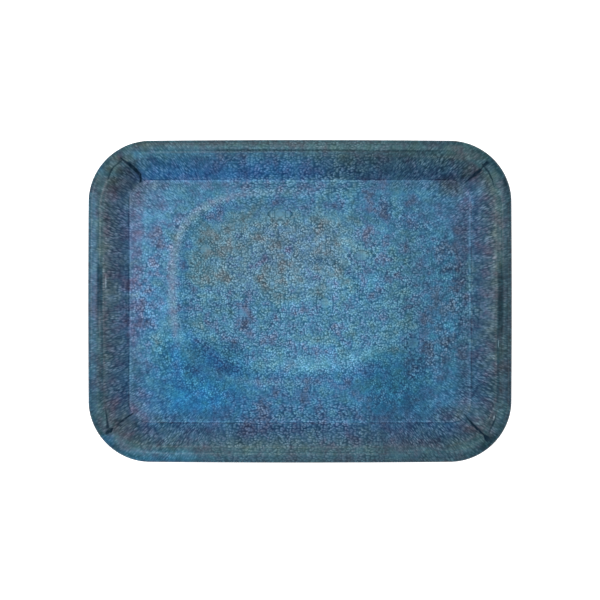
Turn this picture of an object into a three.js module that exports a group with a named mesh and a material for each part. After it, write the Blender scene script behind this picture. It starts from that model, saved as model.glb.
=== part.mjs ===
// Rectangular pressed serving tray. Units are millimetres. +X runs along the length, +Z is up,
// and the origin is the middle of the flat underside.
import * as THREE from "three";

// Overall size over the printed skin.
const OVERALL_LENGTH = 420;
const OVERALL_WIDTH = 320;
const OVERALL_HEIGHT = 28;

// Thicknesses.
const SHEET = 0.4;
const FILM = 0.2;
const ADHESIVE = 0.05;

// Corner radii in plan: at the outer edge, at the top of the wall, and at the foot of the wall.
const EDGE_CORNER = 61;
const WALL_TOP_CORNER = 51.5;
const FOOT_CORNER = 20.5;
const WALL_TOP_INSET = 16;
const FOOT_INSET = 37.5;

// Section through the wall and rim. Tilts are the way the upper face leans: a positive tilt faces
// the middle of the tray, and a negative one faces outwards.
const FOOT_BEND = 2;
const WALL_TILT = 52;
const SHOULDER_INNER_BEND = 3;
const SHOULDER_OUTER_BEND = 6;
const GROOVE_OUTWARD_TILT = -26;
const GROOVE_BEND = 2.5;
const GROOVE_INWARD_TILT = 32;
const LIP_BEND = 6.5;
const LIP_END_TILT = -50;
const CURL_BEND = 2.2;
const OUTERMOST_TILT = -90;
const CURL_BOTTOM_TILT = -180;
const CURL_END_TILT = -300;

// Edge wire.
const WIRE_RADIUS = 1.4;
const WIRE_BUTT_GAP = 0.6;
const WIRE_SIDES = 10;

// Shallow crease that each corner's wall and rim take from pressing, along the diagonal.
const CREASE_DEPTH = 0.35;
const DIAGONAL = 45;
const CREASE_HALF_ANGLE = 2.4;
const CREASE_START_INSET = 1.5;
const CREASE_FULL_INSET = 8;

// Steps around each corner and around each bend.
const CORNER_STEP = 11;
const BEND_STEP = 23;

const toRadians = THREE.MathUtils.degToRad;

// The upper face of the sheet in section, from the edge of the flat base out to the end of the
// curl. Each point has an inset from the outer edge, a height, and the face's unit normal.
function traceSection(wallLength) {
  const bends = [
    [FOOT_BEND, WALL_TILT],
    [0, wallLength],
    [-SHOULDER_INNER_BEND, 0],
    [-SHOULDER_OUTER_BEND, GROOVE_OUTWARD_TILT],
    [GROOVE_BEND, GROOVE_INWARD_TILT],
    [-LIP_BEND, 0],
    [-LIP_BEND, LIP_END_TILT],
    [-CURL_BEND, OUTERMOST_TILT],
    [-CURL_BEND, CURL_BOTTOM_TILT],
    [-CURL_BEND, CURL_END_TILT],
  ];
  let tilt = 0;
  let inset = 0;
  let height = 0;
  const points = [];
  const addPoint = () => {
    const lean = toRadians(tilt);
    points.push({ inset, height, inward: Math.sin(lean), upward: Math.cos(lean) });
  };
  addPoint();
  for (const [radius, target] of bends) {
    if (radius === 0) {
      inset -= target * Math.cos(toRadians(tilt));
      height += target * Math.sin(toRadians(tilt));
      addPoint();
      continue;
    }
    const start = tilt;
    const startInset = inset;
    const startHeight = height;
    const steps = Math.ceil(Math.abs(target - start) / BEND_STEP);
    for (let step = 1; step <= steps; step += 1) {
      tilt = start + ((target - start) * step) / steps;
      const from = toRadians(start);
      const to = toRadians(tilt);
      inset = startInset + radius * (Math.sin(from) - Math.sin(to));
      height = startHeight + radius * (Math.cos(from) - Math.cos(to));
      addPoint();
    }
  }
  return points;
}

// The section with its wall long enough to reach the overall height, its outermost point at
// inset 0 and its base at the top of the sheet.
function sheetSection() {
  const skin = FILM + ADHESIVE;
  const bare = traceSection(0);
  const bareHeight = Math.max(...bare.map((point) => point.height));
  const wallHeight = OVERALL_HEIGHT - skin - SHEET - bareHeight;
  const points = traceSection(wallHeight / Math.sin(toRadians(WALL_TILT)));
  const outermost = Math.min(...points.map((point) => point.inset));
  for (const point of points) {
    point.inset += skin - outermost;
    point.height += SHEET;
  }
  return points;
}

// Corner radius in plan at an inset, through the three stated radii.
function cornerRadius(inset) {
  const top = (WALL_TOP_CORNER - EDGE_CORNER) / WALL_TOP_INSET;
  const foot = (FOOT_CORNER - EDGE_CORNER) / FOOT_INSET;
  const curve = (foot - top) / (FOOT_INSET - WALL_TOP_INSET);
  return EDGE_CORNER + (top + curve * (inset - WALL_TOP_INSET)) * inset;
}

// Stations around the tray, anticlockwise from +X. Each belongs to a corner and looks out at an
// angle. Those at the crease have a creasing of 1 on the diagonal.
function cornerStations() {
  const corners = [
    [1, 1],
    [-1, 1],
    [-1, -1],
    [1, -1],
  ];
  const turns = [];
  for (let turn = 0; turn < DIAGONAL - CORNER_STEP; turn += CORNER_STEP) {
    turns.push(turn);
  }
  turns.push(DIAGONAL - CREASE_HALF_ANGLE);
  const mirrored = turns.map((turn) => 2 * DIAGONAL - turn).reverse();
  return corners.flatMap(([sideX, sideY], corner) =>
    [...turns, DIAGONAL, ...mirrored].map((turn) => ({
      sideX,
      sideY,
      angle: toRadians(2 * DIAGONAL * corner + turn),
      creasing: turn === DIAGONAL ? 1 : 0,
    })),
  );
}

// How deep the crease is at an inset: nothing at the outer edge and at the foot of the wall.
function creaseDepth(inset) {
  const fromEdge = THREE.MathUtils.smoothstep(inset, CREASE_START_INSET, CREASE_FULL_INSET);
  const fromFoot = 1 - THREE.MathUtils.smoothstep(inset, WALL_TOP_INSET, FOOT_INSET);
  return CREASE_DEPTH * fromEdge * fromFoot;
}

// A point of the section, raised off the sheet's upper face and placed at a station.
function placed(point, raise, station) {
  const onCurl = point.upward < 0 || point.inset < CREASE_START_INSET;
  const sink = onCurl ? 0 : station.creasing * creaseDepth(point.inset);
  const inset = point.inset + point.inward * (raise - sink);
  const height = point.height + point.upward * (raise - sink);
  const radius = cornerRadius(inset);
  const x = station.sideX * (OVERALL_LENGTH / 2 - inset - radius) + radius * Math.cos(station.angle);
  const y = station.sideY * (OVERALL_WIDTH / 2 - inset - radius) + radius * Math.sin(station.angle);
  return [x, y, height];
}

// A closed skin: rings of points from a pole above, round an outer end, and back to a pole below.
// The rings before turnBack are split along one diagonal and the rest along the other, so that
// the two faces of a thin skin stay parallel.
function skin(name, rings, turnBack, topHeight, bottomHeight, material) {
  const count = rings[0].length;
  const positions = [0, 0, topHeight, ...rings.flat(2), 0, 0, bottomHeight];
  const bottomPole = positions.length / 3 - 1;
  const faces = [];
  const at = (ring, index) => 1 + ring * count + (index % count);
  for (let index = 0; index < count; index += 1) {
    faces.push(0, at(0, index), at(0, index + 1));
    faces.push(at(rings.length - 1, index), bottomPole, at(rings.length - 1, index + 1));
  }
  for (let ring = 0; ring < rings.length - 1; ring += 1) {
    for (let index = 0; index < count; index += 1) {
      const near = at(ring, index);
      const nearNext = at(ring, index + 1);
      const far = at(ring + 1, index);
      const farNext = at(ring + 1, index + 1);
      if (ring < turnBack) {
        faces.push(near, far, farNext, near, farNext, nearNext);
      } else {
        faces.push(near, far, nearNext, far, farNext, nearNext);
      }
    }
  }
  return meshFrom(name, positions, faces, material);
}

function meshFrom(name, positions, faces, material) {
  const geometry = new THREE.BufferGeometry();
  geometry.setAttribute("position", new THREE.Float32BufferAttribute(positions, 3));
  geometry.setIndex(faces);
  geometry.computeVertexNormals();
  const mesh = new THREE.Mesh(geometry, material);
  mesh.name = name;
  return mesh;
}

// A skin that lies between two heights above the sheet's upper face along part of the section.
function sheetBetween(name, points, low, high, stations, material) {
  const outward = points.map((point) => stations.map((station) => placed(point, high, station)));
  const back = points.map((point) => stations.map((station) => placed(point, low, station)));
  const rings = [...outward, ...back.reverse()];
  const base = points[0].height;
  return skin(name, rings, outward.length, base + high, base + low, material);
}

// The wire loop, from one side of its butt gap round to the other.
function edgeWire(section, stations, material) {
  const outermost = section.find((point) => point.inward === -1);
  const centre = { inset: outermost.inset + CURL_BEND, height: outermost.height };
  const front = stations.findIndex((station) => station.sideX > 0 && station.sideY < 0);
  const path = [...stations.slice(front), ...stations.slice(0, front)].map((station) => {
    const [x, y] = placed({ ...centre, inward: 0, upward: 0 }, 0, { ...station, creasing: 0 });
    return { x, y, angle: station.angle };
  });
  const frontEnd = { y: centre.inset - OVERALL_WIDTH / 2, angle: -Math.PI / 2 };
  path.unshift({ x: WIRE_BUTT_GAP / 2, ...frontEnd });
  path.push({ x: -WIRE_BUTT_GAP / 2, ...frontEnd });
  const positions = [];
  for (const { x, y, angle } of path) {
    for (let side = 0; side < WIRE_SIDES; side += 1) {
      const turn = (2 * Math.PI * side) / WIRE_SIDES;
      const out = WIRE_RADIUS * Math.cos(turn);
      const up = WIRE_RADIUS * Math.sin(turn);
      positions.push(x + out * Math.cos(angle), y + out * Math.sin(angle), centre.height + up);
    }
  }
  const last = (path.length - 1) * WIRE_SIDES;
  const firstCap = path.length * WIRE_SIDES;
  const lastCap = firstCap + 1;
  positions.push(path[0].x, path[0].y, centre.height);
  positions.push(path.at(-1).x, path.at(-1).y, centre.height);
  const faces = [];
  for (let side = 0; side < WIRE_SIDES; side += 1) {
    const next = (side + 1) % WIRE_SIDES;
    faces.push(firstCap, side, next);
    faces.push(lastCap, last + next, last + side);
    for (let start = 0; start < last; start += WIRE_SIDES) {
      const near = start + side;
      const nearNext = start + next;
      faces.push(near, near + WIRE_SIDES, nearNext + WIRE_SIDES);
      faces.push(near, nearNext + WIRE_SIDES, nearNext);
    }
  }
  return meshFrom("edge_wire", positions, faces, material);
}

const enamel = new THREE.MeshStandardMaterial({ color: 0x23282c, roughness: 0.45 });
const print = new THREE.MeshStandardMaterial({ color: 0x466f8c, roughness: 0.25 });
const steel = new THREE.MeshStandardMaterial({ color: 0x9a9da0, metalness: 1, roughness: 0.4 });

const section = sheetSection();
const stations = cornerStations();
const curlBottom = section.findIndex((point) => point.upward < -1 + 1e-9);

const tray = new THREE.Group();
tray.name = "serving_tray";
tray.add(sheetBetween("tray_pan", section, -SHEET, 0, stations, enamel));
tray.add(
  sheetBetween(
    "printed_film",
    section.slice(0, curlBottom + 1),
    ADHESIVE,
    ADHESIVE + FILM,
    stations,
    print,
  ),
);
tray.add(edgeWire(section, stations, steel));

export default tray;
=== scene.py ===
"""A printed tinplate serving tray, seen from straight above on a pale floor.

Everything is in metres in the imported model's frame: X along the tray, Y across it, Z up, with the
origin in the middle of the flat underside.
"""

import math

import bmesh
import bpy
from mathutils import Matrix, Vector, noise


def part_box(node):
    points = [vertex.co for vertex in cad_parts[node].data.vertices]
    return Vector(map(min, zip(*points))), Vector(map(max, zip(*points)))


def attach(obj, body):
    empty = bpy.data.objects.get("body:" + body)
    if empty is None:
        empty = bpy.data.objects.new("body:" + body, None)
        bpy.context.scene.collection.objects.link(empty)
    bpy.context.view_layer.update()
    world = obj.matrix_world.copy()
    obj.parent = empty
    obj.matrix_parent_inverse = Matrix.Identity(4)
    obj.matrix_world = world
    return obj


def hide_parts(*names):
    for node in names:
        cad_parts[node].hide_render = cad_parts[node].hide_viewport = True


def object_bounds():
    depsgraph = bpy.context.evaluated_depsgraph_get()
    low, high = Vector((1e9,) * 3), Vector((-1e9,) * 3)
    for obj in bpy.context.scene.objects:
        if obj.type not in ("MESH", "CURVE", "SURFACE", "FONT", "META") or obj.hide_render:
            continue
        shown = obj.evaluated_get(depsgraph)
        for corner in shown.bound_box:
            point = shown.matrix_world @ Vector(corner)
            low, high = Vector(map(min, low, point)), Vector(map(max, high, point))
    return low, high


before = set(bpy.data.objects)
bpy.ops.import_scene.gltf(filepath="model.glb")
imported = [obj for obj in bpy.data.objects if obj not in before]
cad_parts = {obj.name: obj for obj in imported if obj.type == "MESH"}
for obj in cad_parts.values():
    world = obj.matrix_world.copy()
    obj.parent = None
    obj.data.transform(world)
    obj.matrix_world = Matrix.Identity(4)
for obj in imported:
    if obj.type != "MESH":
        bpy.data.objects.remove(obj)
cad_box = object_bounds()

MM = 0.001

# The pressed sheet in section, as in the CAD model. Tilts are the way the upper face leans.
SHEET = 0.4 * MM
FILM = 0.2 * MM
ADHESIVE = 0.05 * MM
FOOT_BEND = 2.0 * MM
WALL_TILT = 52
SHOULDER_INNER_BEND = 3.0 * MM
SHOULDER_OUTER_BEND = 6.0 * MM
GROOVE_OUTWARD_TILT = -26
GROOVE_BEND = 2.5 * MM
GROOVE_INWARD_TILT = 32
LIP_BEND = 6.5 * MM
LIP_END_TILT = -50
CURL_BEND = 2.2 * MM
OUTERMOST_TILT = -90
CURL_BOTTOM_TILT = -180
CURL_END_TILT = -300

# Corner radii in plan, and the insets from the outer edge where they hold.
EDGE_CORNER = 61 * MM
WALL_TOP_CORNER = 51.5 * MM
FOOT_CORNER = 20.5 * MM
WALL_TOP_INSET = 16 * MM
FOOT_INSET = 37.5 * MM

# The wire in the curled edge.
WIRE_RADIUS = 1.4 * MM
WIRE_BUTT_GAP = 0.6 * MM

# What pressing and use leave: sides that bow slightly outwards, a crease at each corner, and a base
# that isn't quite flat. The bow grows and the crease deepens over a stretch of insets. The crease
# fades out from its line to a margin, in millimetres, beyond the line's half-width.
SHORT_SIDE_BOW = 1.3 * MM
LONG_SIDE_BOW = 2.0 * MM
BOW_START_INSET = -20 * MM
BOW_FULL_INSET = 10 * MM
CREASE_DEPTH = 0.8 * MM
CREASE_START_INSET = 1.5 * MM
CREASE_FULL_INSET = 8 * MM
CREASE_MARGIN = 1.5
BASE_WAVE = 0.2 * MM
BASE_WAVE_LENGTH = 90 * MM

# Mesh fineness. A bend's step is in degrees.
BEND_STEP = 6
WALL_STEPS = 10
CORNER_STEPS = 44
SIDE_STEPS = 14
BASE_RINGS = 12
WIRE_SIDES = 16

# The print, in millimetres from the middle of the tray. Rosettes are a small ring in a diamond.
ROSETTES = [(62, 46), (-56, -11), (25, -2), (114, -42), (-95, 52), (-20, 88)]
ROSETTE_REACH = 17.0
ROSETTE_RING = 6.0
ROSETTE_DISC = 4.8
ROSETTE_DIAMOND = 13.0
# Pitches of the dots in the middle, of the wider ones above and below it, and of the painted glint
# specks on the rim.
DOT_PITCH = 1.9
ROW_PITCH = 1.8
GLINT_SPECK_PITCH = 2.4
# Streaks round the whole turn, and how many follow one another as the reach grows e times.
NEAR_STREAKS = (500, 72)
FAR_STREAKS = (860, 52)
# How much darker than their ground the gaps between marks are, as a share of the contrast.
GAP_DARKNESS = -0.28
# The medallion: its middle and half-size, and the colours of the details around it.
MEDALLION_MIDDLE = (-6.0, 14.0)
MEDALLION_REACH = (101.0, 79.0)
MEDALLION_TINT = (1.22, 1.08, 1.02)
CRESCENT_COLOUR = (0.35, 0.75, 0.85)
MOAT_TINT = (0.70, 0.86, 0.96)
HOOP_COLOUR = (0.5, 0.55, 0.58)
HOOK_TINT = (0.58, 0.70, 0.75)
# The colour of the painted shade along the creases and in the groove beside them.
CREASE_SHADE_COLOUR = (0.005, 0.018, 0.034)
# Hues of the small patches, as places on a ramp from mauve through blue and teal to grey, and the
# lowest place that is used.
MAUVEST_HUE = 0.393
PATCH_HUES = [
    (0.38, (0.093, 0.138, 0.226)),
    (0.45, (0.078, 0.183, 0.330)),
    (0.50, (0.065, 0.222, 0.372)),
    (0.56, (0.079, 0.242, 0.342)),
    (0.66, (0.093, 0.184, 0.232)),
]
# How much lighter the marks are than their ground, in display units, and their mean strength.
MARK_CONTRAST = 0.35
MARK_MEAN = 0.258
# The streaks' extra contrast.
STREAK_EXTRA = 0.03
DISPLAY_GAMMA = 2.2
# Where the patches turn towards mauve (negative) or grey (positive): middle, reach and shift.
HUE_ZONES = [
    (-88, 48, 28, 36, 0.09),
    (-5, 72, 85, 20, 0.07),
    (5, 20, 50, 34, 0.03),
    (-158, 25, 20, 80, -0.035),
    (152, 20, 34, 95, -0.04),
    (0, -108, 150, 18, -0.03),
    (-110, -80, 40, 34, 0.03),
]
# What the colour is multiplied by at each inset from the outer edge, over the rim and down the wall.
# Partly the print's own tones and partly painted shade: darkest at the curled edge and in the groove,
# and darker down the wall.
INSET_TINTS = [
    (0.0, (0.06, 0.25, 0.23)),
    (7.0, (0.75, 0.55, 0.45)),
    (11.0, (0.66, 0.52, 0.405)),
    (15.0, (0.72, 0.45, 0.35)),
    (17.0, (1.09, 0.575, 0.445)),
    (24.0, (1.05, 0.61, 0.55)),
    (32.0, (0.76, 0.54, 0.56)),
    (36.8, (0.88, 0.68, 0.70)),
    (37.4, (1.00, 1.00, 1.00)),
]
# Tones, broad and local: middle x and y, reach x and y, amount, and what the colour is multiplied by.
# Besides the print's own tones, these paint light and shade: the light falling off from left to
# right, a lighter left rim and darker right rim, light and dark lines along the rim, and reflections
# in the corners.
TONES = [
    (170, 0, 130, 260, 0.6, (0.62, 0.72, 0.76)),
    (0, -110, 260, 50, 1.0, (0.74, 0.90, 0.97)),
    (-100, -82, 55, 44, 1.0, (0.46, 0.86, 0.98)),
    (-88, -58, 34, 20, 1.0, (0.66, 0.72, 0.75)),
    (-106, -96, 28, 18, 1.0, (0.80, 1.15, 1.20)),
    (-128, -44, 18, 18, 1.0, (0.80, 1.05, 1.08)),
    (97, -85, 36, 38, 1.0, (0.42, 0.78, 0.81)),
    (62, -62, 40, 26, 1.0, (0.82, 0.95, 1.02)),
    (-75, 55, 70, 50, 0.25, (1.3, 1.0, 0.88)),
    (-152, 42, 32, 100, 1.0, (1.30, 1.18, 1.17)),
    (42, 0, 66, 90, 1.0, (1.18, 1.15, 1.13)),
    (0, 55, 45, 28, 1.0, (0.98, 0.90, 0.92)),
    (152, -10, 28, 90, 1.0, (0.86, 1.02, 0.97)),
    (166, -60, 10, 60, 1.0, (0.92, 0.82, 0.83)),
    (0, 112, 150, 12, 1.0, (1.05, 1.12, 1.10)),
    (-12, 44, 92, 44, 1.0, (1.24, 0.99, 0.98)),
    (-90, 137, 128, 16, 1.0, (0.68, 1.30, 1.70)),
    (110, 137, 98, 16, 1.0, (0.73, 0.92, 0.96)),
    (0, 160, 180, 12, 1.0, (1.25, 1.1, 0.95)),
    (0, 152, 190, 3, 1.0, (1.30, 1.25, 1.2)),
    (-210, 0, 11, 130, 1.0, (1.1, 1.2, 1.35)),
    (210, 0, 18, 130, 1.0, (0.8, 0.75, 0.75)),
    (186, 0, 20, 130, 1.0, (1.3, 1.2, 1.15)),
    (0, -136, 180, 20, 1.0, (1.15, 1.1, 1.06)),
    (0, -148, 190, 8, 1.0, (1.22, 1.2, 1.18)),
    (-171, 134, 11, 11, 1.0, (0.62, 0.52, 0.50)),
    (171, 111, 13, 15, 1.0, (1.45, 1.65, 1.65)),
    (-179, 121, 15, 13, 1.0, (0.68, 0.70, 0.70)),
    (168, -113, 15, 15, 1.0, (1.60, 1.40, 1.22)),
    (-166, -113, 12, 12, 1.0, (1.40, 1.25, 1.15)),
    (-191, -139, 8, 8, 1.0, (0.90, 1.20, 1.50)),
    (-186, -116, 22, 26, 1.0, (1.10, 0.98, 0.95)),
    (-165, -156, 70, 11, 1.0, (0.95, 1.30, 1.50)),
    (0, -152, 190, 3, 1.0, (0.82, 0.86, 0.86)),
    (63, 55, 30, 20, 1.0, (1.13, 1.12, 1.08)),
    (63, 15, 25, 18, 1.0, (0.95, 1.10, 1.10)),
    (20, -20, 24, 18, 1.0, (0.88, 0.93, 0.95)),
    (-148, -10, 20, 35, 1.0, (0.86, 0.97, 1.02)),
    (-106, -55, 25, 25, 1.0, (0.90, 1.04, 1.10)),
    (-162, 55, 8, 60, 1.0, (1.18, 1.12, 1.08)),
    (162, 50, 8, 60, 1.0, (0.97, 0.86, 0.86)),
    (-184, 55, 9, 50, 1.0, (0.90, 0.86, 0.86)),
    (190, 55, 14, 55, 1.0, (1.12, 1.09, 1.07)),
    (-90, 149, 70, 3, 1.0, (0.90, 0.82, 0.80)),
    (-70, 118, 70, 8, 1.0, (1.08, 1.08, 1.04)),
    (-110, -157, 90, 4, 1.0, (0.97, 1.15, 1.18)),
    (90, -129, 70, 6, 1.0, (1.20, 1.10, 1.10)),
    (-186, 137, 10, 10, 1.0, (1.45, 0.87, 0.70)),
    (-177, 146, 14, 8, 1.0, (1.50, 1.00, 0.87)),
    (-155, 153, 14, 6, 1.0, (0.95, 0.78, 0.75)),
    (166, 148, 24, 9, 1.0, (1.55, 1.13, 0.98)),
    (187, -138, 9, 9, 1.0, (0.60, 0.76, 0.72)),
    (-183, -133, 14, 14, 1.0, (1.05, 1.14, 1.18)),
    (-166, 25, 8, 85, 1.0, (1.18, 0.97, 1.00)),
    (166, 129, 5, 6, 1.0, (1.00, 0.85, 0.74)),
    (-167, -124, 5, 4, 1.0, (1.02, 0.96, 0.90)),
    (168.5, -127.5, 7, 3.5, 1.0, (1.06, 0.93, 0.86)),
    (155, 116, 16, 12, 1.0, (0.80, 0.64, 0.60)),
    (150, -114, 16, 8, 1.0, (0.98, 0.84, 0.80)),
    (175, -135, 8, 8, 1.0, (0.90, 0.94, 0.94)),
    (-160, -149, 24, 5, 1.0, (1.25, 1.10, 1.05)),
    (-178, -125, 8, 8, 1.0, (0.98, 0.90, 0.88)),
    (-178, 145.5, 3.2, 4.5, 1.0, (1.25, 0.85, 0.95)),
    (-20, 100, 60, 16, 1.0, (0.98, 0.90, 0.91)),
    (80, -98, 34, 16, 1.0, (1.00, 1.12, 1.09)),
    (148, -20, 20, 20, 1.0, (0.95, 1.08, 1.09)),
    (106, 20, 20, 55, 1.0, (1.10, 1.02, 0.95)),
    (-150, -102, 18, 16, 1.0, (1.13, 0.96, 1.00)),
    (-150, 104, 18, 14, 1.0, (1.00, 0.92, 0.91)),
    (-22, -60, 70, 18, 1.0, (0.97, 1.05, 1.08)),
    (203, -60, 3.5, 60, 1.0, (0.82, 0.93, 0.94)),
    (-90, 157.5, 70, 3, 1.0, (0.85, 0.86, 0.90)),
    (165, 50, 9, 60, 1.0, (1.00, 0.88, 0.89)),
]
# Short stretches of painted light and shade on the rim, dark in the groove and at the wall's foot and
# lighter on the lip and crest: the same, with narrow reaches.
RIM_LIGHT_AND_SHADE = [
    (-198.0, 14, 3.2, 30, 1.0, (0.34, 0.56, 0.67)),
    (-196.5, -60, 2.2, 50, 1.0, (0.72, 0.84, 0.90)),
    (-203.5, 50, 3.5, 70, 1.0, (1.48, 1.25, 1.25)),
    (-173.0, 55, 1.8, 50, 1.0, (0.76, 0.84, 0.87)),
    (-173.6, -5, 2.6, 75, 1.0, (0.70, 0.77, 0.80)),
    (-192.5, 35, 4.5, 60, 1.0, (1.28, 1.14, 1.10)),
    (198.6, 2, 3.2, 40, 1.0, (0.36, 0.54, 0.59)),
    (196.4, -55, 2.4, 55, 1.0, (0.62, 0.80, 0.86)),
    (195.5, 62, 5.0, 50, 1.0, (1.34, 1.26, 1.18)),
    (-15, 149.3, 85, 1.3, 1.0, (0.50, 0.53, 0.53)),
    (90, 148.4, 50, 1.5, 0.8, (0.58, 0.62, 0.64)),
]
# Painted highlights, glints on the crest: middle x and y, half-width and half-length along Y.
GLINTS = [
    (-192.4, 19.0, 0.8, 7.0),
    (196.2, -42.0, 0.6, 4.0),
    (191.9, -115.2, 0.9, 2.6),
]
# Creases at the corners, as lines of (x, y, half-width) from the rim to the wall's foot.
# The sheet is pushed in along these lines, and shade is painted along them too.
CREASES = [
    [(-177.5, 141.8, 0.4), (-168.8, 135.4, 1.5), (-163.5, 130.9, 2.0), (-160.4, 127.0, 1.5)],
    [(-160.4, 127.0, 1.5), (-159.9, 122.5, 0.8), (-162.0, 119.5, 0.2)],
    [(190.5, 142.5, 1.9), (182.7, 134.6, 1.5), (179.0, 131.0, 0.5)],
    [(178.3, 129.8, 1.5), (174.0, 126.0, 1.7), (171.0, 123.6, 0.8), (165.5, 119.0, 0.2)],
    [(-191.5, -130.5, 1.2), (-188.0, -127.8, 2.3), (-185.0, -125.5, 0.6)],
    [(-180.5, -121.8, 0.3), (-177.0, -119.2, 0.9), (-172.1, -115.4, 0.8), (-165.5, -111.6, 0.1)],
    [(190.0, -142.0, 1.4), (184.8, -135.6, 2.5), (182.0, -132.4, 0.8)],
    [(182.0, -132.4, 0.8), (175.0, -125.6, 1.3), (170.5, -120.6, 0.9), (165.8, -113.9, 0.1)],
]
# Lines of painted shade along the groove beside the creases, in the same form.
GROOVE_LINES = [
    [(-175.5, 139.9, 0.3), (-184.4, 132.6, 0.4), (-187.6, 127.6, 0.8), (-189.8, 120.6, 0.3)],
    [(-184.4, 123.8, 0.2), (-179.4, 118.6, 0.3)],
    [(180.6, 135.2, 0.9), (186.4, 127.9, 0.8), (190.0, 120.6, 0.7), (192.0, 113.0, 0.1)],
    [(-192.4, -106.0, 0.1), (-190.9, -115.0, 0.9), (-190.2, -124.5, 1.3)],
    [(187.0, -129.4, 0.4), (191.4, -120.6, 0.8), (194.2, -110.5, 0.1)],
]
# What the colour is multiplied by in the corners of the wall and rim, in their groove, and at their
# foot.
# These are painted reflections: the glossy corners shift in colour, mostly lighter, where they mirror
# the lights.
CORNER_TINT = (1.10, 0.95, 0.88)
CORNER_GROOVE_TINT = (1.50, 1.32, 1.27)
CORNER_FOOT_TINT = (1.18, 1.12, 1.12)
# The same in the corners of the base and all round its edge, and a painted highlight beside the bend
# at its edge.
BASE_CORNER_TINT = (1.28, 0.86, 0.83)
BASE_EDGE_TINT = (0.93, 0.80, 0.81)
BEND_HIGHLIGHT_TINT = (1.22, 1.20, 1.19)

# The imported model's size.
tray_low, tray_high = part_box("printed_film")
HALF_LENGTH = (tray_high.x - tray_low.x) / 2
HALF_WIDTH = (tray_high.y - tray_low.y) / 2
TRAY_TOP = tray_high.z
# The flat base's half-size, in millimetres.
BASE_X = (HALF_LENGTH - FOOT_INSET) / MM
BASE_Y = (HALF_WIDTH - FOOT_INSET) / MM

# Camera: straight above, far enough to leave only a little perspective. The view's width is at the
# tray's top, and the sensor is in millimetres of the camera's own.
CAMERA_HEIGHT = 1.3
VIEW_WIDTH = 0.5928
CAMERA_OFFSET = 1.3 * MM
SENSOR = 36.0


# ---------------------------------------------------------------------------------------------
# The sheet's section and plan


def trace_section(wall_length):
    """Points of the sheet's upper face from the base's edge out to the end of the curl.

    Each is an inset from the outer edge, a height, and the face's unit normal (inward, upward).
    """
    bends = [
        (FOOT_BEND, WALL_TILT),
        (0, wall_length),
        (-SHOULDER_INNER_BEND, 0),
        (-SHOULDER_OUTER_BEND, GROOVE_OUTWARD_TILT),
        (GROOVE_BEND, GROOVE_INWARD_TILT),
        (-LIP_BEND, 0),
        (-LIP_BEND, LIP_END_TILT),
        (-CURL_BEND, OUTERMOST_TILT),
        (-CURL_BEND, CURL_BOTTOM_TILT),
        (-CURL_BEND, CURL_END_TILT),
    ]
    tilt, inset, height = 0.0, 0.0, 0.0
    points = [(inset, height, 0.0, 1.0)]
    for radius, target in bends:
        start, start_inset, start_height = tilt, inset, height
        if radius == 0:
            steps = WALL_STEPS
        else:
            steps = math.ceil(abs(target - start) / BEND_STEP)
        for step in range(1, steps + 1):
            if radius == 0:
                lean = math.radians(tilt)
                inset = start_inset - target * step / steps * math.cos(lean)
                height = start_height + target * step / steps * math.sin(lean)
            else:
                tilt = start + (target - start) * step / steps
                before, lean = math.radians(start), math.radians(tilt)
                inset = start_inset + radius * (math.sin(before) - math.sin(lean))
                height = start_height + radius * (math.cos(before) - math.cos(lean))
            points.append((inset, height, math.sin(lean), math.cos(lean)))
    return points


def sheet_section():
    """The section at its real height, with the skin's outermost point at inset 0."""
    skin = FILM + ADHESIVE
    bare_height = max(point[1] for point in trace_section(0))
    wall_height = TRAY_TOP - skin - SHEET - bare_height
    points = trace_section(wall_height / math.sin(math.radians(WALL_TILT)))
    outermost = min(point[0] for point in points)
    return [(p[0] - outermost + skin, p[1] + SHEET, p[2], p[3]) for p in points]


def corner_radius(inset):
    """Corner radius in plan at an inset, through the three stated radii."""
    top = (WALL_TOP_CORNER - EDGE_CORNER) / WALL_TOP_INSET
    foot = (FOOT_CORNER - EDGE_CORNER) / FOOT_INSET
    curve = (foot - top) / (FOOT_INSET - WALL_TOP_INSET)
    return EDGE_CORNER + (top + curve * (inset - WALL_TOP_INSET)) * inset


def smoothstep(low, high, value):
    share = min(max((value - low) / (high - low), 0.0), 1.0)
    return share * share * (3 - 2 * share)


def plan_stations():
    """Stations around the tray, anticlockwise from +X: (corner, angle, side share, next corner).

    A station on a corner has an angle and no side share. A station on a straight side has the
    share of the way from one corner to the next.
    """
    corners = [(1, 1), (-1, 1), (-1, -1), (1, -1)]
    stations = []
    for number, signs in enumerate(corners):
        for step in range(2 * CORNER_STEPS + 1):
            turn = 90 * step / (2 * CORNER_STEPS)
            stations.append((signs, math.radians(90 * number + turn), 0.0, signs))
        following = corners[(number + 1) % 4]
        angle = math.radians(90 * number + 90)
        for step in range(1, SIDE_STEPS):
            stations.append((signs, angle, step / SIDE_STEPS, following))
    return stations


def plan_point(inset, station):
    """Where an inset lies in plan at a station."""
    signs, angle, share, following = station
    radius = corner_radius(inset)
    reach_x = HALF_LENGTH - inset - radius
    reach_y = HALF_WIDTH - inset - radius
    centre_x = reach_x * (signs[0] * (1 - share) + following[0] * share)
    centre_y = reach_y * (signs[1] * (1 - share) + following[1] * share)
    x = centre_x + radius * math.cos(angle)
    y = centre_y + radius * math.sin(angle)
    bowed = smoothstep(BOW_START_INSET, BOW_FULL_INSET, inset)
    bow_x = SHORT_SIDE_BOW * bowed * min(abs(y) / HALF_WIDTH, 1.0) ** 2
    bow_y = LONG_SIDE_BOW * bowed * min(abs(x) / HALF_LENGTH, 1.0) ** 2
    x -= math.copysign(bow_x, x) * abs(math.cos(angle))
    y -= math.copysign(bow_y, y) * abs(math.sin(angle))
    return x, y


def segments(lines):
    """The straight parts of several lines, as pairs of neighbouring points."""
    return [pair for line in lines for pair in zip(line, line[1:])]


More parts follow.
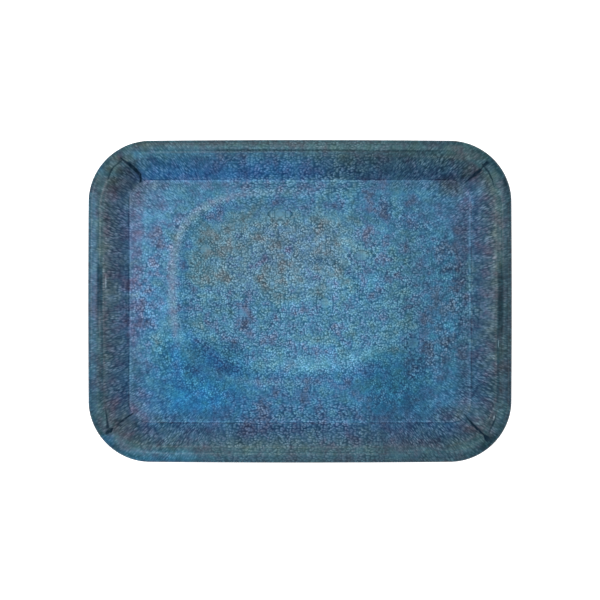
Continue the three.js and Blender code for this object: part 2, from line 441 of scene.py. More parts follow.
def crease_depth(inset, x, y):
    """How far the sheet is pushed in at a place, near the crease that crosses it."""
    from_edge = smoothstep(CREASE_START_INSET, CREASE_FULL_INSET, inset)
    from_foot = 1 - smoothstep(WALL_TOP_INSET, FOOT_INSET, inset)
    nearest = 0.0
    for start, end in segments(CREASES):
        if start[0] * x < 0 or start[1] * y < 0:
            continue
        run = Vector((end[0] - start[0], end[1] - start[1]))
        local = Vector((x / MM - start[0], y / MM - start[1]))
        along = min(max(local.dot(run) / run.length_squared, 0.0), 1.0)
        away = (local - run * along).length
        reach = CREASE_MARGIN + start[2] + (end[2] - start[2]) * along
        nearest = max(nearest, 1 - smoothstep(0.0, reach, away))
    return CREASE_DEPTH * nearest * from_edge * from_foot


def sheet_point(point, raised, station):
    """A point of the section, raised off the sheet's upper face and placed at a station."""
    inset, height, inward, upward = point
    sink = 0.0
    if upward >= 0 and inset > CREASE_START_INSET and station[2] == 0:
        sink = crease_depth(inset, *plan_point(inset, station))
    x, y = plan_point(inset + inward * (raised - sink), station)
    return Vector((x, y, height + upward * (raised - sink)))


def base_wave(x, y):
    """The base's slight waviness, which fades out towards its edge."""
    inner_x = HALF_LENGTH - FOOT_INSET
    inner_y = HALF_WIDTH - FOOT_INSET
    from_edge = 1 - max(abs(x) / inner_x, abs(y) / inner_y)
    wave = 0.5 + 0.5 * noise.noise(Vector((x, y, 0.37)) / BASE_WAVE_LENGTH)
    return BASE_WAVE * wave * smoothstep(0.0, 0.25, from_edge)


# ---------------------------------------------------------------------------------------------
# Meshes


def cornering(station):
    """How near a station is to the middle of its corner, 0 to 1."""
    _, angle, share, _ = station
    return 0.0 if share > 0 else abs(math.sin(2 * angle))


def new_piece(name, mesh_data, node, marks=None):
    """Makes a piece that stands for a CAD node. Marks are values on its points for the material."""
    mesh = bpy.data.meshes.new(name)
    mesh_data.to_mesh(mesh)
    mesh_data.free()
    for mark, values in (marks or {}).items():
        attribute = mesh.attributes.new(mark, "FLOAT", "POINT")
        attribute.data.foreach_set("value", values)
    for polygon in mesh.polygons:
        polygon.use_smooth = True
    piece = bpy.data.objects.new(name, mesh)
    bpy.context.scene.collection.objects.link(piece)
    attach(piece, "root")
    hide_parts(node)
    return piece


def base_rings(ring):
    """Rings from near the middle of the base out to its edge, which is the given ring."""
    rings = []
    for step in range(1, BASE_RINGS):
        share = step / BASE_RINGS
        rings.append([Vector((p.x * share, p.y * share, p.z)) for p in ring])
    return rings


def skin_piece(name, section, low, high, node):
    """A closed skin between two heights above the sheet's upper face."""
    stations = plan_stations()
    face = [[sheet_point(point, high, station) for station in stations] for point in section]
    back = [[sheet_point(point, low, station) for station in stations] for point in section]
    face = base_rings(face[0]) + face
    back = base_rings(back[0]) + back
    for rings in (face, back):
        for ring in rings[: BASE_RINGS - 1]:
            for point in ring:
                point.z += base_wave(point.x, point.y)
    rings = face + back[::-1]
    base_insets = [section[0][0]] * (BASE_RINGS - 1)
    face_insets = base_insets + [point[0] for point in section]
    ring_insets = face_insets + face_insets[::-1]
    marks = {"inset": [section[0][0] / MM] * 2, "corner": [0.0] * 2}
    for inset in ring_insets:
        marks["inset"] += [inset / MM] * len(stations)
        marks["corner"] += [cornering(station) for station in stations]
    data = bmesh.new()
    top = data.verts.new((0, 0, face[0][0].z))
    bottom = data.verts.new((0, 0, back[0][0].z))
    verts = [[data.verts.new(point) for point in ring] for ring in rings]
    count = len(stations)
    for index in range(count):
        following = (index + 1) % count
        data.faces.new((top, verts[0][index], verts[0][following]))
        data.faces.new((verts[-1][index], bottom, verts[-1][following]))
        for near, far in zip(verts, verts[1:]):
            data.faces.new((near[index], far[index], far[following], near[following]))
    return new_piece(name, data, node, marks)


def wire_piece(name, section, radius, butt_gap, sides):
    """The wire loop inside the curled edge, open by its butt gap in the middle of the front."""
    outermost = min(section, key=lambda point: point[0])
    inset, height = outermost[0] + CURL_BEND, outermost[1]
    stations = plan_stations()
    front = [n for n, s in enumerate(stations) if s[0] == (-1, -1) and s[3] == (1, -1)]
    middle = front[len(front) // 2]
    ordered = stations[middle + 1 :] + stations[:middle]
    path = [(*plan_point(inset, station), station[1]) for station in ordered]
    front_y = plan_point(inset, stations[middle])[1]
    path.insert(0, (butt_gap / 2, front_y, -math.pi / 2))
    path.append((-butt_gap / 2, front_y, -math.pi / 2))
    data = bmesh.new()
    rings = []
    for x, y, angle in path:
        ring = []
        for side in range(sides):
            turn = 2 * math.pi * side / sides
            out, up = radius * math.cos(turn), radius * math.sin(turn)
            ring.append(
                data.verts.new((x + out * math.cos(angle), y + out * math.sin(angle), height + up))
            )
        rings.append(ring)
    for near, far in zip(rings, rings[1:]):
        for side in range(sides):
            following = (side + 1) % sides
            data.faces.new((near[side], far[side], far[following], near[following]))
    data.faces.new(rings[0])
    data.faces.new(rings[-1][::-1])
    return new_piece(name, data, "edge_wire")


section = sheet_section()
curl_bottom = min(range(len(section)), key=lambda n: section[n][3])

pan = skin_piece("tray_pan_sheet", section, -SHEET, 0.0, "tray_pan")
print_skin = skin_piece(
    "printed_skin", section[: curl_bottom + 1], ADHESIVE, ADHESIVE + FILM, "printed_film"
)
wire = wire_piece("edge_wire_loop", section, WIRE_RADIUS, WIRE_BUTT_GAP, WIRE_SIDES)


# ---------------------------------------------------------------------------------------------
# Material graph helper


class Graph:
    """Short calls for a material's nodes. Each returns the output socket of a new node."""

    def __init__(self, name):
        self.material = bpy.data.materials.new(name)
        self.material.use_nodes = True
        self.nodes = self.material.node_tree.nodes
        self.links = self.material.node_tree.links
        self.nodes.clear()
        output = self.nodes.new("ShaderNodeOutputMaterial")
        self.shader = self.nodes.new("ShaderNodeBsdfPrincipled")
        self.links.new(self.shader.outputs["BSDF"], output.inputs["Surface"])
        coordinates = self.nodes.new("ShaderNodeTexCoord")
        self.place = self.scale(coordinates.outputs["Object"], 1 / MM)

    def put(self, socket, value):
        if isinstance(value, bpy.types.NodeSocket):
            self.links.new(value, socket)
        elif isinstance(value, tuple) and len(value) == 3 and socket.type == "RGBA":
            socket.default_value = (*value, 1.0)
        else:
            socket.default_value = value

    def math(self, operation, first, second=0.0, third=0.0, clamp=False):
        node = self.nodes.new("ShaderNodeMath")
        node.operation = operation
        node.use_clamp = clamp
        for socket, value in zip(node.inputs, (first, second, third)):
            self.put(socket, value)
        return node.outputs[0]

    def vector(self, operation, first, second=(0.0, 0.0, 0.0)):
        node = self.nodes.new("ShaderNodeVectorMath")
        node.operation = operation
        self.put(node.inputs[0], first)
        self.put(node.inputs[1], second)
        return node.outputs["Value" if operation in ("LENGTH", "DOT_PRODUCT") else "Vector"]

    def scale(self, vector, factor):
        node = self.nodes.new("ShaderNodeVectorMath")
        node.operation = "SCALE"
        self.put(node.inputs[0], vector)
        self.put(node.inputs["Scale"], factor)
        return node.outputs["Vector"]

    def split(self, vector):
        node = self.nodes.new("ShaderNodeSeparateXYZ")
        self.put(node.inputs[0], vector)
        return node.outputs[0], node.outputs[1], node.outputs[2]

    def join(self, x, y, z=0.0):
        node = self.nodes.new("ShaderNodeCombineXYZ")
        for socket, value in zip(node.inputs, (x, y, z)):
            self.put(socket, value)
        return node.outputs[0]

    def ramp_up(self, low, high, value):
        """0 below low and 1 above high, smoothly. Falls instead where low is above high."""
        node = self.nodes.new("ShaderNodeMapRange")
        node.interpolation_type = "SMOOTHSTEP"
        for name, number in (("Value", value), ("From Min", low), ("From Max", high)):
            self.put(node.inputs[name], number)
        return node.outputs[0]

    def noise(self, place, size, detail=2.0, roughness=0.5, seed=0.0):
        """Smooth noise about 0.5 whose features are about size millimetres across."""
        node = self.nodes.new("ShaderNodeTexNoise")
        node.noise_dimensions = "4D"
        self.put(node.inputs["Vector"], self.scale(place, 1 / size))
        self.put(node.inputs["Scale"], 1.0)
        self.put(node.inputs["Detail"], detail)
        self.put(node.inputs["Roughness"], roughness)
        self.put(node.inputs["W"], seed)
        return node.outputs["Fac"]

    def cells(self, place, size, jitter, dimensions="3D"):
        """Distance from the middle of the nearest cell, in cells, and the cell's random colour."""
        node = self.nodes.new("ShaderNodeTexVoronoi")
        node.voronoi_dimensions = dimensions
        self.put(node.inputs["Vector"], self.scale(place, 1 / size))
        self.put(node.inputs["Scale"], 1.0)
        self.put(node.inputs["Randomness"], jitter)
        return node.outputs["Distance"], node.outputs["Color"]

    def mix(self, share, first, second, blend="MIX"):
        node = self.nodes.new("ShaderNodeMix")
        node.data_type = "RGBA"
        node.blend_type = blend
        self.put(node.inputs["Factor"], share)
        self.put(node.inputs[6], first)
        self.put(node.inputs[7], second)
        return node.outputs[2]

    def colours(self, share, stops):
        """A colour ramp through stops of (place, colour)."""
        node = self.nodes.new("ShaderNodeValToRGB")
        ramp = node.color_ramp
        while len(ramp.elements) < len(stops):
            ramp.elements.new(1.0)
        for element, (place, colour) in zip(ramp.elements, stops):
            element.position = place
            element.color = (*colour, 1.0)
        self.put(node.inputs[0], share)
        return node.outputs[0]

    def power(self, colour, exponent):
        """Each channel of a colour to a power."""
        node = self.nodes.new("ShaderNodeGamma")
        self.put(node.inputs["Color"], colour)
        self.put(node.inputs["Gamma"], exponent)
        return node.outputs[0]

    def lighten(self, colour, amount):
        """Adds the same to every channel as displayed, so that a colour gets paler or darker."""
        displayed = self.power(colour, 1 / DISPLAY_GAMMA)
        lighter = self.vector("ADD", displayed, self.join(amount, amount, amount))
        return self.power(self.vector("MAXIMUM", lighter, (0.02, 0.02, 0.02)), DISPLAY_GAMMA)

    def mix_vector(self, share, first, second):
        node = self.nodes.new("ShaderNodeMix")
        node.data_type = "VECTOR"
        self.put(node.inputs["Factor"], share)
        self.put(node.inputs[4], first)
        self.put(node.inputs[5], second)
        return node.outputs[1]

    def zone(self, place, middle, reach):
        """1 in the middle of a rounded rectangle and 0 a little outside its reach."""
        local = self.vector("DIVIDE", self.vector("SUBTRACT", place, (*middle, 0.0)), (*reach, 1.0))
        away = self.vector("LENGTH", self.vector("MULTIPLY", local, local))
        return self.ramp_up(1.3, 0.2, away)

    def toning(self, place, tones):
        """The product of several zones' tints at a place."""
        product = (1.0, 1.0, 1.0)
        for middle_x, middle_y, reach_x, reach_y, amount, tint in tones:
            zone = self.zone(place, (middle_x, middle_y), (reach_x, reach_y))
            product = self.mix(self.math("MULTIPLY", zone, amount), product, tint, "MULTIPLY")
        return product

    def from_bend(self, flat):
        """How far in from the bend at the foot of the wall a place on the base is."""
        reach_x = (HALF_LENGTH - FOOT_INSET - FOOT_CORNER) / MM
        reach_y = (HALF_WIDTH - FOOT_INSET - FOOT_CORNER) / MM
        beyond = self.vector("SUBTRACT", self.vector("ABSOLUTE", flat), (reach_x, reach_y, 0.0))
        beyond = self.vector("LENGTH", self.vector("MAXIMUM", beyond, (0.0, 0.0, 0.0)))
        return self.math("SUBTRACT", FOOT_CORNER / MM, beyond)

    def stroke(self, place, start, end):
        """1 along a straight stroke between two points of (x, y, half-width)."""
        run = (end[0] - start[0], end[1] - start[1], 0.0)
        local = self.vector("SUBTRACT", place, (start[0], start[1], 0.0))
        along = self.vector("DOT_PRODUCT", local, run)
        along = self.math("DIVIDE", along, run[0] ** 2 + run[1] ** 2, clamp=True)
        nearest = self.vector("MULTIPLY", self.join(along, along, along), run)
        away = self.vector("LENGTH", self.vector("SUBTRACT", local, nearest))
        width = self.math("MULTIPLY_ADD", along, end[2] - start[2], start[2])
        beyond = self.math("SUBTRACT", away, width)
        return self.ramp_up(0.8, -0.6, beyond)

    def attribute(self, name):
        node = self.nodes.new("ShaderNodeAttribute")
        node.attribute_name = name
        return node.outputs["Fac"]

    def band(self, value, middle, half_width):
        """1 where value is at middle, falling to 0 at half_width either side."""
        away = self.math("ABSOLUTE", self.math("SUBTRACT", value, middle))
        return self.ramp_up(half_width, 0.0, away)

    def bump(self, height, strength, distance, under=None):
        node = self.nodes.new("ShaderNodeBump")
        self.put(node.inputs["Strength"], strength)
        self.put(node.inputs["Distance"], distance)
        self.put(node.inputs["Height"], height)
        if under is not None:
            self.put(node.inputs["Normal"], under)
        return node.outputs[0]

    def finish(self, **values):
        for name, value in values.items():
            self.put(self.shader.inputs[name.replace("_", " ")], value)
        return self.material


def print_material():
    g = Graph("mosaic print under varnish")
    x, y, _ = g.split(g.place)
    flat = g.join(x, y)
    reach = g.vector("LENGTH", flat)
    outward = g.scale(flat, g.math("DIVIDE", 1.0, g.math("MAXIMUM", reach, 1.0)))
    ux, uy, _ = g.split(outward)
    log_reach = g.math("LOGARITHM", g.math("MAXIMUM", reach, 1.0), math.e)
    inset = g.attribute("inset")

    # How far out a place is: 1 at the foot of the wall.
    share = g.vector("LENGTH", g.join(g.math("DIVIDE", x, 173.0), g.math("DIVIDE", y, 123.0)))

    # Dots in the middle, on wandering rows, mirrored about each rosette's middle.
    folded = flat
    dark_lines = 0.0
    discs = 0.0
    for centre in ROSETTES:
        local = g.vector("SUBTRACT", flat, (*centre, 0.0))
        far = g.vector("LENGTH", local)
        mirrored = g.vector("ADD", g.vector("ABSOLUTE", local), (*centre, 40.0))
        folded = g.mix_vector(g.math("LESS_THAN", far, ROSETTE_REACH), folded, mirrored)
        across_x, across_y, _ = g.split(g.vector("ABSOLUTE", local))
        diamond = g.band(g.math("ADD", across_x, across_y), ROSETTE_DIAMOND, 1.2)
        lines = g.math("MAXIMUM", g.band(far, ROSETTE_RING, 1.0), diamond)
        dark_lines = g.math("MAXIMUM", dark_lines, lines)
        discs = g.math("MAXIMUM", discs, g.ramp_up(ROSETTE_DISC + 0.8, ROSETTE_DISC, far))
    drift = g.scale(
        g.join(
            g.math("SUBTRACT", g.noise(folded, 9, 2.0, seed=1.0), 0.5),
            g.math("SUBTRACT", g.noise(folded, 9, 2.0, seed=2.0), 0.5),
        ),
        6.0,
    )
    drifted = g.vector("ADD", folded, drift)
    dot_place = g.vector("MULTIPLY", drifted, (0.87, 1.0, 1.0))
    dot_far, dot_colour = g.cells(dot_place, DOT_PITCH, jitter=0.95, dimensions="2D")
    dot_gap = g.ramp_up(0.42, 0.75, dot_far)
    dots = g.math("MULTIPLY_ADD", dot_gap, GAP_DARKNESS, g.ramp_up(0.58, 0.1, dot_far))

    # Above and below the middle the dots are wider than they are high.
    row_place = g.vector("MULTIPLY", drifted, (0.62, 1.0, 1.0))
    row_far, row_colour = g.cells(row_place, ROW_PITCH, jitter=0.95, dimensions="2D")
    row_gap = g.ramp_up(0.42, 0.75, row_far)
    rows = g.math("MULTIPLY_ADD", row_gap, GAP_DARKNESS, g.ramp_up(0.6, 0.1, row_far))

    # Streaks to the left and right, each along a line from the middle.
    def streaks(around, along, seed):
        turn = around / (2 * math.pi)
        place = g.join(
            g.math("MULTIPLY", ux, turn),
            g.math("MULTIPLY", uy, turn),
            g.math("MULTIPLY_ADD", log_reach, along, seed),
        )
        far, colour = g.cells(place, 1.0, jitter=0.8)
        gap = g.ramp_up(0.45, 0.9, far)
        return g.math("MULTIPLY_ADD", gap, GAP_DARKNESS, g.ramp_up(0.75, 0.15, far)), colour

    near_streaks, near_colour = streaks(*NEAR_STREAKS, 0.0)
    far_streaks, far_colour = streaks(*FAR_STREAKS, 50.0)
    to_near = g.ramp_up(0.62, 0.92, share)
    to_far = g.ramp_up(0.9, 1.2, share)
    sideways = g.ramp_up(0.42, 0.66, g.math("ABSOLUTE", ux))
    marks = g.mix(sideways, rows, g.mix(to_far, near_streaks, far_streaks))
    marks = g.mix(to_near, dots, marks)
    colour = g.mix(sideways, row_colour, g.mix(to_far, near_colour, far_colour))
    random_share, _, _ = g.split(g.mix(to_near, dot_colour, colour))
    calm = g.noise(flat, 8, 2.0, 0.5, seed=6.0)
    strength = g.math("MULTIPLY_ADD", random_share, 0.55, 0.4)
    lively = g.math("MULTIPLY_ADD", g.ramp_up(0.35, 0.6, calm), 0.5, 0.5)
    strength = g.math("MULTIPLY", strength, lively)
    relief_marks = g.math("MULTIPLY", marks, strength)
    relief_marks = g.math("SUBTRACT", relief_marks, MARK_MEAN)
    relief_marks = g.math("MULTIPLY_ADD", dark_lines, -0.25, relief_marks)
    relief_marks = g.math("MULTIPLY", relief_marks, g.math("MULTIPLY_ADD", discs, -0.6, 1.0))
    streaky = g.math("MULTIPLY", to_near, sideways)
    contrast = g.math("MULTIPLY_ADD", streaky, STREAK_EXTRA, MARK_CONTRAST)
    contrast = g.math("MULTIPLY_ADD", to_far, -0.08, contrast)
    relief_marks = g.math("MULTIPLY", relief_marks, contrast)
    calm_rim = g.math("MULTIPLY_ADD", g.ramp_up(18.0, 14.0, inset), -0.35, 1.0)
    relief_marks = g.math("MULTIPLY", relief_marks, calm_rim)
    in_corner = g.math("MULTIPLY", g.attribute("corner"), g.ramp_up(37.4, 36.0, inset))
    calm_corner = g.math("MULTIPLY_ADD", in_corner, -0.2, 1.0)
    relief_marks = g.math("MULTIPLY", relief_marks, calm_corner)

    # Small patches of hue and of tone.
    hue = g.math("MULTIPLY", g.noise(flat, 55, 2.0, 0.55, seed=4.0), 0.25)
    hue = g.math("MULTIPLY_ADD", g.noise(flat, 15, 4.0, 0.62, seed=5.0), 0.70, hue)
    hue = g.math("ADD", hue, 0.025)
    for middle_x, middle_y, reach_x, reach_y, shift in HUE_ZONES:
        zone = g.zone(flat, (middle_x, middle_y), (reach_x, reach_y))
        hue = g.math("MULTIPLY_ADD", zone, shift, hue)
    evened = g.math("MULTIPLY", to_far, 0.42)
    hue = g.math("MULTIPLY_ADD", g.math("SUBTRACT", 0.48, hue), evened, hue)
    hue = g.math("MAXIMUM", hue, MAUVEST_HUE)
    printed = g.colours(hue, PATCH_HUES)
    blotches = g.noise(flat, 13, 3.0, 0.65, seed=7.0)
    printed = g.scale(printed, g.math("MULTIPLY_ADD", g.ramp_up(0.3, 0.7, blotches), 0.46, 0.77))

    # A large rounded medallion, with a pale hoop round its left side.
    across = g.math("ABSOLUTE", g.math("SUBTRACT", x, MEDALLION_MIDDLE[0]))
    across = g.math("DIVIDE", across, MEDALLION_REACH[0])
    up = g.math("ABSOLUTE", g.math("SUBTRACT", y, MEDALLION_MIDDLE[1]))
    up = g.math("DIVIDE", up, MEDALLION_REACH[1])
    cubes = g.math("ADD", g.math("POWER", across, 3.0), g.math("POWER", up, 3.0))
    medallion = g.math("POWER", cubes, 1 / 3)
    leftness = g.ramp_up(60.0, -90.0, x)
    rightness = g.ramp_up(-75.0, 0.0, x)
    lowness = g.ramp_up(-25.0, -55.0, y)
    inside = g.ramp_up(1.06, 0.94, medallion)
    printed = g.mix(g.math("MULTIPLY", inside, 0.5), printed, MEDALLION_TINT, "MULTIPLY")
    low_right = g.math("MULTIPLY", lowness, rightness)
    crescent = g.math("MULTIPLY", g.band(medallion, 1.0, 0.16), low_right)
    printed = g.mix(g.math("MULTIPLY", crescent, 0.17), printed, CRESCENT_COLOUR)
    moat = g.math("MULTIPLY", g.band(medallion, 1.11, 0.09), leftness)
    printed = g.mix(g.math("MULTIPLY", moat, 0.8), printed, MOAT_TINT, "MULTIPLY")
    hoop = g.math("MULTIPLY", g.band(medallion, 1.22, 0.07), leftness)
    printed = g.mix(g.math("MULTIPLY", hoop, 0.16), printed, HOOP_COLOUR)
    hook_away = g.vector("LENGTH", g.vector("SUBTRACT", flat, (20.0, 0.0, 0.0)))
    hook = g.math("MULTIPLY", g.ramp_up(-8.0, 10.0, y), g.ramp_up(-2.0, 14.0, x))
    hook = g.math("MULTIPLY", hook, g.band(hook_away, 41.0, 6.0))
    printed = g.mix(hook, printed, HOOK_TINT, "MULTIPLY")

    # Broad and local zones of tone, with painted light and shade among them.
    printed = g.mix(1.0, printed, g.toning(flat, TONES), "MULTIPLY")

    # Tones over the rim and down the wall, in the corners, and round the base's edge, with painted
    # light and shade among them.
    # The print's own tones with painted shade: darkest at the curled edge and in the groove, and
    # darker down the wall.
    along_section = g.math("DIVIDE", inset, 40.0)
    stops = [(place / 40.0, tint) for place, tint in INSET_TINTS]
    printed = g.mix(1.0, printed, g.colours(along_section, stops), "MULTIPLY")
    on_wall = g.ramp_up(37.4, 36.0, inset)
    # Painted reflections in the glossy corners of the wall and rim, in their groove and at their
    # foot.
    corner = g.attribute("corner")
    printed = g.mix(g.math("MULTIPLY", corner, on_wall), printed, CORNER_TINT, "MULTIPLY")
    in_groove = g.math("MULTIPLY", corner, g.band(inset, 11.0, 5.0))
    printed = g.mix(in_groove, printed, CORNER_GROOVE_TINT, "MULTIPLY")
    at_foot = g.math("MULTIPLY", g.math("MULTIPLY", corner, on_wall), g.ramp_up(29.0, 36.5, inset))
    printed = g.mix(at_foot, printed, CORNER_FOOT_TINT, "MULTIPLY")
    in_x = g.math("SUBTRACT", BASE_X, g.math("ABSOLUTE", x))
    in_y = g.math("SUBTRACT", BASE_Y, g.math("ABSOLUTE", y))
    on_base = g.math("SUBTRACT", 1.0, on_wall)
    base_edge = g.math("MULTIPLY", on_base, g.ramp_up(16.0, 3.0, g.math("MINIMUM", in_x, in_y)))
    printed = g.mix(base_edge, printed, BASE_EDGE_TINT, "MULTIPLY")
    from_bend = g.from_bend(flat)
    # A painted highlight on the base beside the bend at its edge.
    beside_bend = g.math("MULTIPLY", on_base, g.ramp_up(5.5, 1.0, from_bend))
    printed = g.mix(beside_bend, printed, BEND_HIGHLIGHT_TINT, "MULTIPLY")
    base_corner = g.math("MULTIPLY", on_base, g.ramp_up(52.0, 18.0, g.math("ADD", in_x, in_y)))
    printed = g.mix(base_corner, printed, BASE_CORNER_TINT, "MULTIPLY")
    printed = g.lighten(printed, relief_marks)
    # Painted light and shade on short stretches of the rim.
    printed = g.mix(1.0, printed, g.toning(flat, RIM_LIGHT_AND_SHADE), "MULTIPLY")

    # The bend at the foot of the wall: painted shade in it and a painted highlight beside it, both
    # broken up.
    broken = g.ramp_up(0.40, 0.62, g.noise(flat, 26, 3.0, 0.6, seed=11.0))
    bend_shade_strength = g.math("MULTIPLY_ADD", broken, 0.14, 0.02)
    bend_shade = g.math("MULTIPLY", g.band(from_bend, -0.1, 0.9), bend_shade_strength)
    bend_highlight_strength = g.math("MULTIPLY_ADD", broken, -0.03, 0.07)
    bend_highlight = g.math("MULTIPLY", g.band(from_bend, 1.2, 0.8), bend_highlight_strength)
    along_side = g.math("MULTIPLY_ADD", corner, -0.75, 1.0)
    printed = g.lighten(printed, g.math("MULTIPLY", g.math("SUBTRACT", bend_highlight, bend_shade), along_side))

    # Painted highlights: small glint specks along the crest of the shoulder, and a few longer glints.
    speck_far, speck_colour = g.cells(flat, GLINT_SPECK_PITCH, jitter=1.0, dimensions="2D")
    speck_chance, _, _ = g.split(speck_colour)
    glint_specks = g.math("MULTIPLY", g.ramp_up(0.93, 0.99, speck_chance), g.ramp_up(0.35, 0.1, speck_far))
    glint_specks = g.math("MULTIPLY", glint_specks, g.band(inset, 17.0, 5.0))
    for middle_x, middle_y, reach_x, reach_y in GLINTS:
        glint = g.zone(flat, (middle_x, middle_y), (reach_x, reach_y))
        glint_specks = g.math("MAXIMUM", glint_specks, glint)
    printed = g.lighten(printed, g.math("MULTIPLY", glint_specks, 0.22))

    # Painted shade along the creases and in the groove beside them, with ragged edges.
    wander = g.scale(
        g.join(
            g.math("SUBTRACT", g.noise(flat, 5, 3.0, 0.6, seed=13.0), 0.5),
            g.math("SUBTRACT", g.noise(flat, 5, 3.0, 0.6, seed=14.0), 0.5),
        ),
        1.6,
    )
    wandered = g.vector("ADD", flat, wander)
    crease_shade = 0.0
    for start, end in segments(CREASES):
        crease_shade = g.math("MAXIMUM", crease_shade, g.stroke(wandered, start, end))
    groove_shade = 0.0
    for start, end in segments(GROOVE_LINES):
        groove_shade = g.math("MAXIMUM", groove_shade, g.stroke(wandered, start, end))
    crease_shade = g.math("MAXIMUM", crease_shade, g.math("MULTIPLY", groove_shade, 0.85))
    shade_patchiness = g.ramp_up(0.35, 0.6, g.noise(flat, 4, 3.0, 0.6, seed=15.0))
    dark = g.math("MULTIPLY", crease_shade, g.math("MULTIPLY_ADD", shade_patchiness, 0.25, 0.75))
    dark = g.math("MULTIPLY", dark, g.ramp_up(2.0, 6.0, inset))
    printed = g.mix(dark, printed, CREASE_SHADE_COLOUR)

    # The gloss is taken off where shade is painted: along the creases and groove, and in the rim's
    # dark stretches.
    for middle_x, middle_y, reach_x, reach_y, _, tint in RIM_LIGHT_AND_SHADE:
        zone = g.zone(flat, (middle_x, middle_y), (reach_x, reach_y))
        dark = g.math("MAXIMUM", dark, g.math("MULTIPLY", zone, 1.0 - tint[0]))
    gloss = g.math("SUBTRACT", 1.0, dark)

    relief = g.noise(g.place, 1.1, 2.0, 0.5, seed=9.0)
    normal = g.bump(relief, 0.08, 0.0003)
    return g.finish(
        Base_Color=printed,
        Roughness=0.5,
        Specular_IOR_Level=g.math("MULTIPLY", gloss, 0.12),
        Normal=normal,
        Coat_Weight=g.math("MULTIPLY", gloss, 0.3),
        Coat_Roughness=0.15,
    )


def enamel_material():
    g = Graph("satin enamel on tinplate")
    x, y, _ = g.split(g.place)
    flat = g.join(x, y)
    mottle = g.noise(g.place, 40, 3.0, 0.6, seed=3.0)
    colour = g.colours(mottle, [(0.3, (0.018, 0.022, 0.028)), (0.7, (0.032, 0.038, 0.046))])

    # Rubbed where it stands, along the base's bend, and patchily over the base.
    broken = g.ramp_up(0.42, 0.60, g.noise(flat, 14, 3.0, 0.6, seed=12.0))
    rubbed = g.math("MULTIPLY", g.band(g.from_bend(flat), 0.5, 2.5), broken)
    scuffs = g.math("MULTIPLY", g.ramp_up(0.58, 0.72, g.noise(flat, 30, 5.0, 0.7, seed=16.0)), 0.3)
    rubbed = g.math("MAXIMUM", rubbed, scuffs)
    colour = g.mix(g.math("MULTIPLY", rubbed, 0.5), colour, (0.10, 0.105, 0.11))

    # Fine scratches, mostly along the tray and some across it, in a few places.
    lengthwise = g.noise(g.vector("MULTIPLY", flat, (0.08, 1.0, 1.0)), 7, 1.0, 0.5, seed=17.0)
    crosswise = g.noise(g.vector("MULTIPLY", flat, (1.0, 0.1, 1.0)), 8, 1.0, 0.5, seed=18.0)
    scratches = g.math("MAXIMUM", g.band(lengthwise, 0.5, 0.012), g.band(crosswise, 0.5, 0.010))
    some = g.ramp_up(0.50, 0.60, g.noise(flat, 45, 2.0, 0.5, seed=19.0))
    scratches = g.math("MULTIPLY", scratches, some)
    colour = g.mix(g.math("MULTIPLY", scratches, 0.4), colour, (0.11, 0.115, 0.12))

    roughness = g.math("MULTIPLY_ADD", g.noise(g.place, 6, 3.0, 0.6, seed=4.0), 0.25, 0.3)
    roughness = g.math("MULTIPLY_ADD", rubbed, 0.2, roughness)
    height = g.math("SUBTRACT", g.noise(g.place, 0.8, 2.0, seed=6.0), scratches)
    return g.finish(Base_Color=colour, Roughness=roughness, Normal=g.bump(height, 0.15, 0.0002))


def wire_material():
    g = Graph("plain drawn wire")
    drawn = g.noise(g.place, 3, 3.0, 0.7, seed=7.0)
    colour = g.colours(drawn, [(0.3, (0.30, 0.29, 0.28)), (0.7, (0.55, 0.55, 0.56))])
    roughness = g.math("MULTIPLY_ADD", drawn, 0.3, 0.2)
    return g.finish(Base_Color=colour, Roughness=roughness, Metallic=1.0)


def floor_material():
    g = Graph("pale floor")
    tone = g.noise(g.place, 300, 2.0, seed=8.0)
    colour = g.colours(tone, [(0.3, (0.86, 0.86, 0.86)), (0.7, (0.9, 0.9, 0.9))])
    return g.finish(
        Base_Color=colour, Roughness=0.9, Emission_Color=(1.0, 1.0, 1.0), Emission_Strength=0.85
    )


for piece, material in (
    (print_skin, print_material()),
    (pan, enamel_material()),
    (wire, wire_material()),
):
    piece.data.materials.append(material)


# ---------------------------------------------------------------------------------------------
# Floor, lights and camera


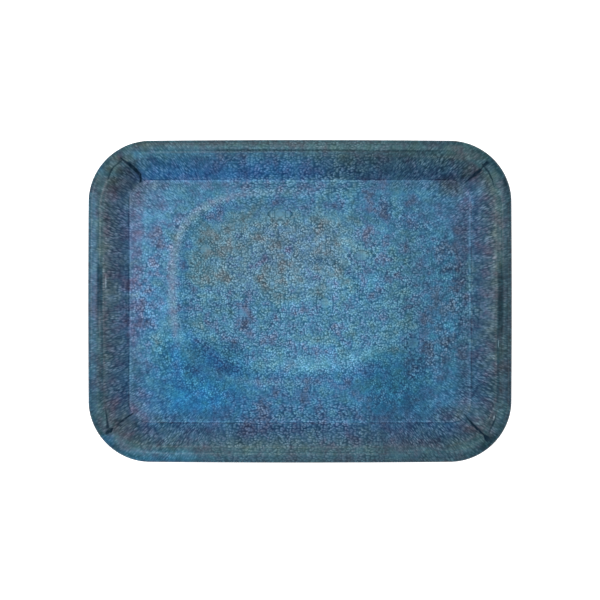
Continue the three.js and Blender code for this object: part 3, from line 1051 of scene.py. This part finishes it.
def backdrop_piece(name, radius, sweep, wall, height, sides):
    """A round floor at a height, whose edge sweeps up into a low wall."""
    profile = [(radius * step / 6, 0.0) for step in range(1, 7)]
    for step in range(1, 13):
        turn = math.radians(90 * step / 12)
        profile.append((radius + sweep * math.sin(turn), sweep * (1 - math.cos(turn))))
    profile.append((radius + sweep, wall))
    data = bmesh.new()
    middle = data.verts.new((0, 0, height))
    rings = []
    for reach, up in profile:
        turns = [2 * math.pi * side / sides for side in range(sides)]
        rings.append(
            [data.verts.new((reach * math.cos(t), reach * math.sin(t), height + up)) for t in turns]
        )
    for side in range(sides):
        following = (side + 1) % sides
        data.faces.new((middle, rings[0][side], rings[0][following]))
        for near, far in zip(rings, rings[1:]):
            data.faces.new((near[side], far[side], far[following], near[following]))
    mesh = bpy.data.meshes.new(name)
    data.to_mesh(mesh)
    data.free()
    for polygon in mesh.polygons:
        polygon.use_smooth = True
    backdrop = bpy.data.objects.new(name, mesh)
    bpy.context.scene.collection.objects.link(backdrop)
    return backdrop


floor = backdrop_piece("floor", radius=9.0, sweep=1.5, wall=3.0, height=cad_box[0][2], sides=96)
floor.data.materials.append(floor_material())


def soft_box(name, place, target, size, power, colour=(1.0, 1.0, 1.0)):
    light = bpy.data.lights.new(name, "AREA")
    light.shape = "RECTANGLE"
    light.size, light.size_y = size
    light.energy = power
    light.color = colour
    lamp = bpy.data.objects.new(name, light)
    lamp.location = place
    aim = Vector(target) - Vector(place)
    lamp.rotation_euler = aim.to_track_quat("-Z", "Y").to_euler()
    bpy.context.scene.collection.objects.link(lamp)


soft_box("overhead_box", (-0.2, 0.15, 1.9), (0, 0, 0), (2.6, 2.2), 12.2)
soft_box("left_box", (-1.25, 0.3, 1.1), (0, 0, 0), (0.9, 0.7), 8)
soft_box("top_box", (-0.2, 1.25, 1.1), (0, 0, 0), (0.9, 0.7), 7)
soft_box("right_box", (1.25, -0.2, 1.1), (0, 0, 0), (0.9, 0.7), 5)
soft_box("bottom_box", (0.2, -1.25, 1.1), (0, 0, 0), (0.9, 0.7), 4)

world = bpy.data.worlds.new("studio")
world.use_nodes = True
world.node_tree.nodes["Background"].inputs["Color"].default_value = (0.9, 0.93, 1.0, 1.0)
world.node_tree.nodes["Background"].inputs["Strength"].default_value = 0.2
bpy.context.scene.world = world
bpy.context.scene.view_settings.view_transform = "Standard"

camera_data = bpy.data.cameras.new("camera")
camera_data.sensor_width = SENSOR
camera_data.lens = SENSOR * CAMERA_HEIGHT / VIEW_WIDTH
camera = bpy.data.objects.new("camera", camera_data)
camera.location = (0, CAMERA_OFFSET, TRAY_TOP + CAMERA_HEIGHT)
bpy.context.scene.collection.objects.link(camera)
bpy.context.scene.camera = camera
